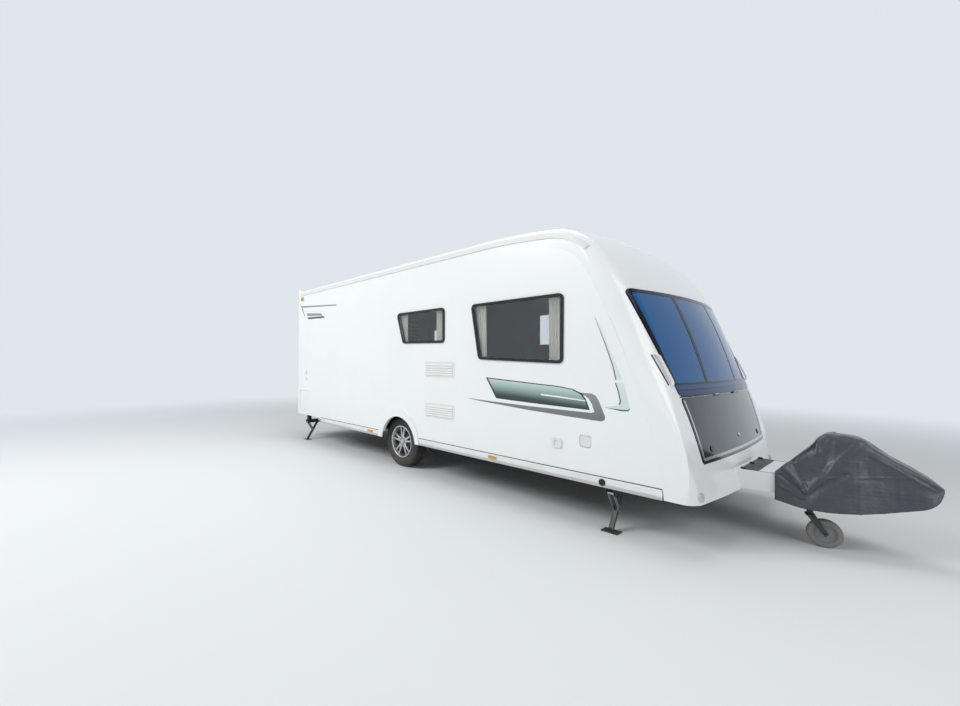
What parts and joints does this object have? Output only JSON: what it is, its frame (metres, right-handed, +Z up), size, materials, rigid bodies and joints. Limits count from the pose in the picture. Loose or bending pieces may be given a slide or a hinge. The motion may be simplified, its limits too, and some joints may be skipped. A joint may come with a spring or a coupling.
{
  "type": "touring caravan",
  "caption": "Touring caravan with a moulded sloping front, tinted windows, opening doors and hatches, alloy wheels, jockey wheel, folding corner steadies and a fabric hitch cover.",
  "frame": {"origin": "on the ground, under the middle of the overall length and width", "axes": "+X towards the hitch, +Y to the nearside with the entrance door, +Z up"},
  "size_m": [7.36, 2.2103, 2.643],
  "materials": {
    "shell_white": "smooth white painted aluminium sheet",
    "moulding_white": "gloss white acrylic-capped moulding",
    "trim_white": "moulded white plastic",
    "black_trim": "gloss black moulded edge",
    "tinted_glazing": "dark tinted acrylic",
    "locker_graphite": "glossy dark graphite",
    "galvanised_steel": "dull galvanised steel",
    "black_steel": "black painted steel",
    "alloy": "silver painted alloy",
    "tyre_rubber": "black tyre rubber",
    "grey_rubber": "grey solid rubber",
    "cast_head": "black coated casting",
    "cover_fabric": "dark grey coated cover fabric",
    "amber_lens": "amber lens",
    "red_lens": "red lens",
    "clear_lens": "clear ribbed lens",
    "plate_blank": "blank plate",
    "seat_fabric": "woven beige upholstery",
    "curtain_fabric": "cream curtain",
    "furniture_wood": "light walnut furniture board",
    "floor_ply": "dark treated plywood"
  },
  "bodies": {
    "root": {"axle_tube": "galvanised_steel", "cabin_furniture": "furniture_wood", "chassis_frame": "galvanised_steel", "coupling_handle": "black_steel", "coupling_head": "cast_head", "curtains": "curtain_fabric", "drawbar_fairing": "moulding_white", "floor_panel": "floor_ply", "front_grab_handles": "trim_white", "front_panel": "moulding_white", "front_window_frame": "black_trim", "front_window_panes": "tinted_glazing", "gas_locker_box": "trim_white", "handbrake_lever": "galvanised_steel", "hitch_cover": "cover_fabric", "jockey_clamp_tube": "galvanised_steel", "lounge_seats": "seat_fabric", "mains_pocket": "trim_white", "marker_lamps": "clear_lens", "plate_panel": "plate_blank", "rear_bumper": "moulding_white", "rear_lamp_clusters": "red_lens", "rear_panel": "moulding_white", "roof_edge_mouldings": "trim_white", "roof_lights": "tinted_glazing", "roof_panel": "shell_white", "service_fittings": "trim_white", "side_reflectors": "amber_lens", "side_wall_left": "shell_white", "side_wall_right": "shell_white", "skirts": "trim_white", "steady_brackets": "galvanised_steel", "toilet_pocket": "trim_white", "trailing_arms": "black_steel", "wheel_arch_trims": "trim_white", "wheel_boxes": "black_steel", "window_frames": "black_trim", "window_panes": "tinted_glazing"},
    "road_wheel_right": {"tyre_right": "tyre_rubber", "wheel_right": "alloy"},
    "road_wheel_left": {"tyre_left": "tyre_rubber", "wheel_left": "alloy"},
    "entrance_door": {"habitation_door": "shell_white", "door_window_pane": "tinted_glazing", "door_fittings": "black_trim"},
    "locker_door": {"gas_locker_door": "locker_graphite"},
    "toilet_door": {"toilet_service_door": "trim_white"},
    "mains_lid": {"mains_hatch_lid": "trim_white"},
    "jockey_post": {"jockey_post": "galvanised_steel"},
    "jockey_fork": {"jockey_fork": "galvanised_steel"},
    "jockey_wheel": {"jockey_wheel": "grey_rubber"},
    "brace_front_right": {"steady_brace_front_right": "galvanised_steel"},
    "leg_front_right": {"steady_leg_front_right": "galvanised_steel"},
    "brace_front_left": {"steady_brace_front_left": "galvanised_steel"},
    "leg_front_left": {"steady_leg_front_left": "galvanised_steel"},
    "brace_rear_right": {"steady_brace_rear_right": "galvanised_steel"},
    "leg_rear_right": {"steady_leg_rear_right": "galvanised_steel"},
    "brace_rear_left": {"steady_brace_rear_left": "galvanised_steel"},
    "leg_rear_left": {"steady_leg_rear_left": "galvanised_steel"}
  },
  "joints": [
    {"name": "road_wheel_right_spin", "type": "hinge", "parent": "root", "child": "road_wheel_right", "pos_m": [-0.75, -0.913, 0.314], "axis": [0, 1, 0], "continuous": true},
    {"name": "road_wheel_left_spin", "type": "hinge", "parent": "root", "child": "road_wheel_left", "pos_m": [-0.75, 0.913, 0.314], "axis": [0, 1, 0], "continuous": true},
    {"name": "entrance_door_hinge", "type": "hinge", "parent": "root", "child": "entrance_door", "pos_m": [0.382, 1.0983, 1.3425], "axis": [0, 0, -1], "range_deg": [0, 150]},
    {"name": "locker_door_hinge", "type": "hinge", "parent": "root", "child": "locker_door", "pos_m": [2.50155, 0, 1.074], "axis": [0, -1, 0], "range_deg": [0, 80]},
    {"name": "toilet_door_hinge", "type": "hinge", "parent": "root", "child": "toilet_door", "pos_m": [-3.275, -1.084, 0.514], "axis": [1, 0, 0], "range_deg": [0, 90]},
    {"name": "mains_lid_hinge", "type": "hinge", "parent": "root", "child": "mains_lid", "pos_m": [1.799, -1.0943, 0.7385], "axis": [-1, 0, 0], "range_deg": [0, 110]},
    {"name": "steady_front_right_fold", "type": "hinge", "parent": "root", "child": "brace_front_right", "pos_m": [1.985, -1.04, 0.3], "axis": [1, 0, 0], "range_deg": [0, 48.96]},
    {"name": "steady_front_right_leg", "type": "hinge", "parent": "brace_front_right", "child": "leg_front_right", "pos_m": [1.985, -0.94896, 0.16], "axis": [1, 0, 0], "range_deg": [-97.92, 0]},
    {"name": "steady_front_left_fold", "type": "hinge", "parent": "root", "child": "brace_front_left", "pos_m": [1.985, 1.04, 0.3], "axis": [-1, 0, 0], "range_deg": [0, 48.96]},
    {"name": "steady_front_left_leg", "type": "hinge", "parent": "brace_front_left", "child": "leg_front_left", "pos_m": [1.985, 0.94896, 0.16], "axis": [-1, 0, 0], "range_deg": [-97.92, 0]},
    {"name": "steady_rear_right_fold", "type": "hinge", "parent": "root", "child": "brace_rear_right", "pos_m": [-3.27, -1.04, 0.3], "axis": [1, 0, 0], "range_deg": [0, 48.96]},
    {"name": "steady_rear_right_leg", "type": "hinge", "parent": "brace_rear_right", "child": "leg_rear_right", "pos_m": [-3.27, -0.94896, 0.16], "axis": [1, 0, 0], "range_deg": [-97.92, 0]},
    {"name": "steady_rear_left_fold", "type": "hinge", "parent": "root", "child": "brace_rear_left", "pos_m": [-3.27, 1.04, 0.3], "axis": [-1, 0, 0], "range_deg": [0, 48.96]},
    {"name": "steady_rear_left_leg", "type": "hinge", "parent": "brace_rear_left", "child": "leg_rear_left", "pos_m": [-3.27, 0.94896, 0.16], "axis": [-1, 0, 0], "range_deg": [-97.92, 0]},
    {"name": "jockey_wind", "type": "slide", "parent": "root", "child": "jockey_post", "axis": [0, 0, 1], "range_m": [0, 0.035]},
    {"name": "jockey_swivel", "type": "hinge", "parent": "jockey_post", "child": "jockey_fork", "pos_m": [3.042, -0.15, 0.228], "axis": [0, 0, 1], "continuous": true},
    {"name": "jockey_wheel_spin", "type": "hinge", "parent": "jockey_fork", "child": "jockey_wheel", "pos_m": [3.11734, -0.12981, 0.1], "axis": [-0.2588, 0.9659, 0], "continuous": true}
  ],
  "couplings": [
    {"joint": "steady_front_right_leg", "follows": "steady_front_right_fold", "ratio": -2},
    {"joint": "steady_front_left_leg", "follows": "steady_front_left_fold", "ratio": -2},
    {"joint": "steady_rear_right_leg", "follows": "steady_rear_right_fold", "ratio": -2},
    {"joint": "steady_rear_left_leg", "follows": "steady_rear_left_fold", "ratio": -2}
  ]
}
